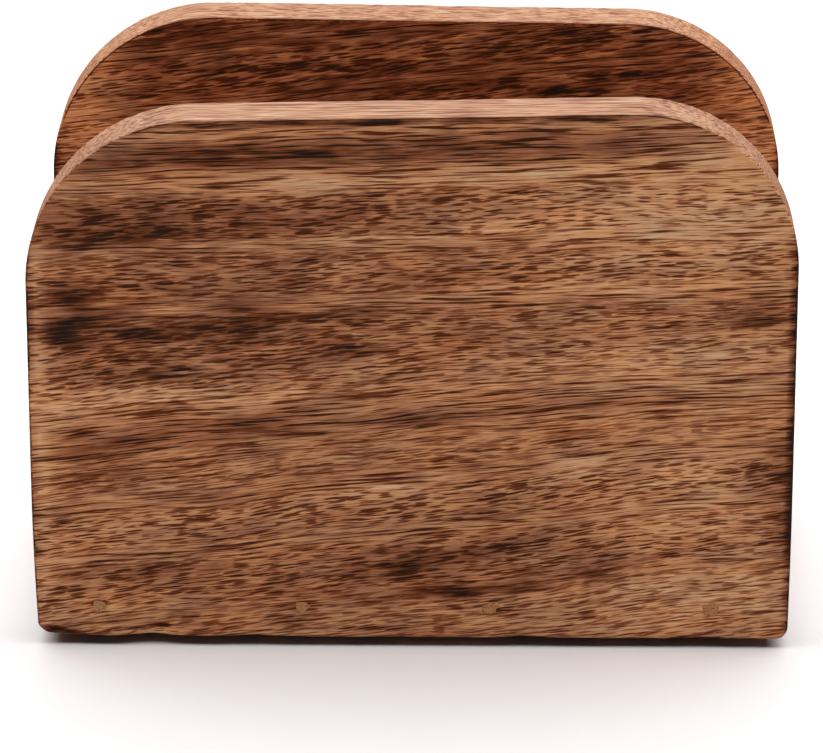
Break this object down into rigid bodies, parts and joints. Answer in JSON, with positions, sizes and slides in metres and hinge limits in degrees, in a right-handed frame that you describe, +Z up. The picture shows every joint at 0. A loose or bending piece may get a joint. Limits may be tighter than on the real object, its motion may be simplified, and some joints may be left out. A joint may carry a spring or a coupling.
{
  "type": "upright napkin holder",
  "caption": "Upright table napkin holder of torched hardwood: two rounded panels nailed to a base board, with a slot between them and small feet.",
  "frame": {"origin": "centre of the footprint, on the table", "axes": "+X along the panels, +Y from the front panel to the rear one, +Z up"},
  "size_m": [0.15, 0.08, 0.1109],
  "materials": {
    "torched_wood": "torched and sanded, matt",
    "brad_steel": "drawn wire, dull",
    "wood_putty": "dried filler, matt",
    "foot_rubber": "moulded, matt"
  },
  "bodies": {
    "root": {"front_panel": "torched_wood", "rear_panel": "torched_wood", "base_board": "torched_wood", "front_brads": "brad_steel", "rear_brads": "brad_steel", "front_putty_plugs": "wood_putty", "rear_putty_plugs": "wood_putty", "foot_front_left": "foot_rubber", "foot_front_right": "foot_rubber", "foot_rear_left": "foot_rubber", "foot_rear_right": "foot_rubber"}
  },
  "joints": []
}
